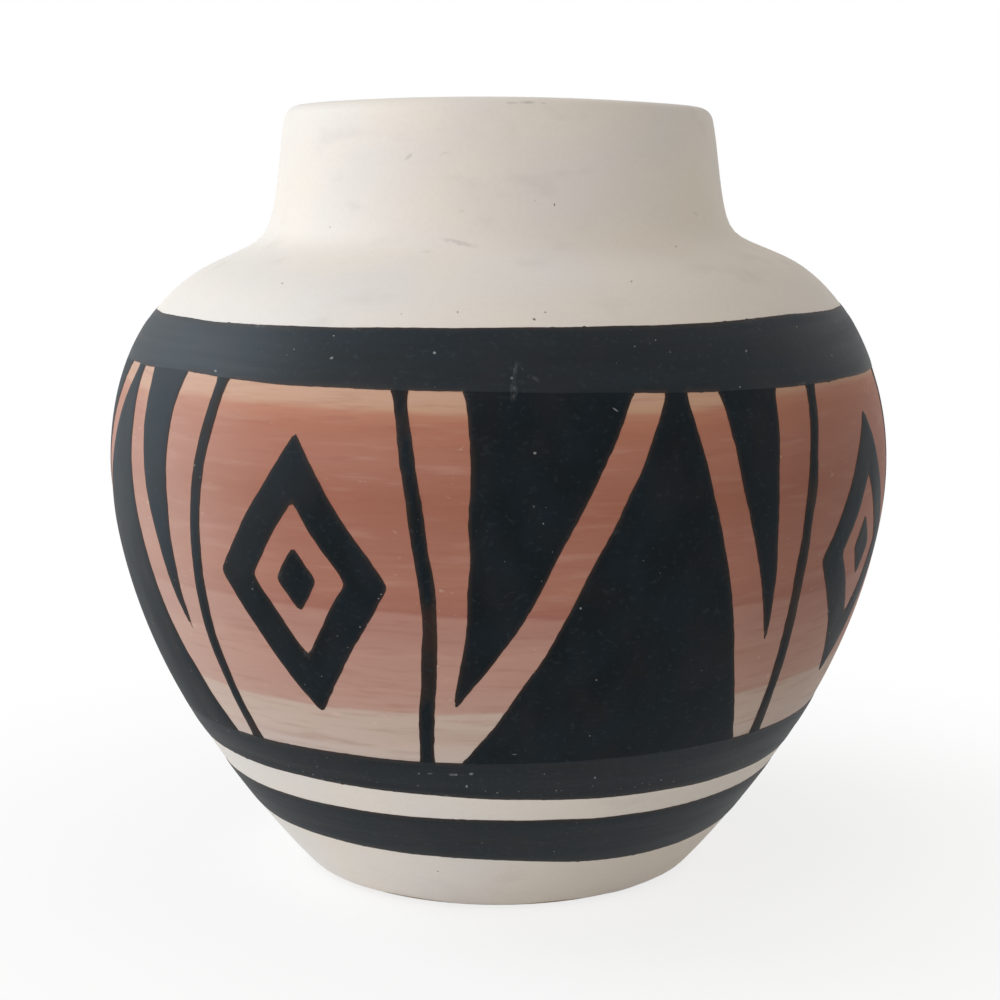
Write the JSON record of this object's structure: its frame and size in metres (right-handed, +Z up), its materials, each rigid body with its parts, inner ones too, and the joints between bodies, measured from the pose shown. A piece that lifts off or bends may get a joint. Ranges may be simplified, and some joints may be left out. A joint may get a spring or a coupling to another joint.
{
  "type": "vase",
  "caption": "Small round earthenware vase with a short wide neck, painted with black bands and geometric figures over a terracotta belt on a cream ground.",
  "frame": {"origin": "centre of the foot, in the plane that the foot ring stands on", "axes": "+Z up along the axis of revolution, +X to the right as seen from the front, and the front faces -Y"},
  "size_m": [0.1106, 0.1106, 0.108],
  "materials": {
    "fired_clay": "bare bisque-fired clay",
    "cream_slip": "satin-matt fired slip",
    "inside_glaze": "glossy clear-cream glaze",
    "terracotta_wash": "brushed matt slip wash",
    "black_slip": "brushed satin black slip"
  },
  "bodies": {
    "root": {"clay_body": "fired_clay", "slip_coat": "cream_slip", "glaze_lining": "inside_glaze", "terracotta_belt": "terracotta_wash", "shoulder_band": "black_slip", "waist_band": "black_slip", "foot_band": "black_slip", "peak_1": "black_slip", "tooth_left_1": "black_slip", "tooth_right_1": "black_slip", "lozenge_1": "black_slip", "lozenge_heart_1": "black_slip", "bow_left_1": "black_slip", "bow_right_1": "black_slip", "peak_2": "black_slip", "tooth_left_2": "black_slip", "tooth_right_2": "black_slip", "lozenge_2": "black_slip", "lozenge_heart_2": "black_slip", "bow_left_2": "black_slip", "bow_right_2": "black_slip", "peak_3": "black_slip", "tooth_left_3": "black_slip", "tooth_right_3": "black_slip", "lozenge_3": "black_slip", "lozenge_heart_3": "black_slip", "bow_left_3": "black_slip", "bow_right_3": "black_slip", "peak_4": "black_slip", "tooth_left_4": "black_slip", "tooth_right_4": "black_slip", "lozenge_4": "black_slip", "lozenge_heart_4": "black_slip", "bow_left_4": "black_slip", "bow_right_4": "black_slip"}
  },
  "joints": []
}
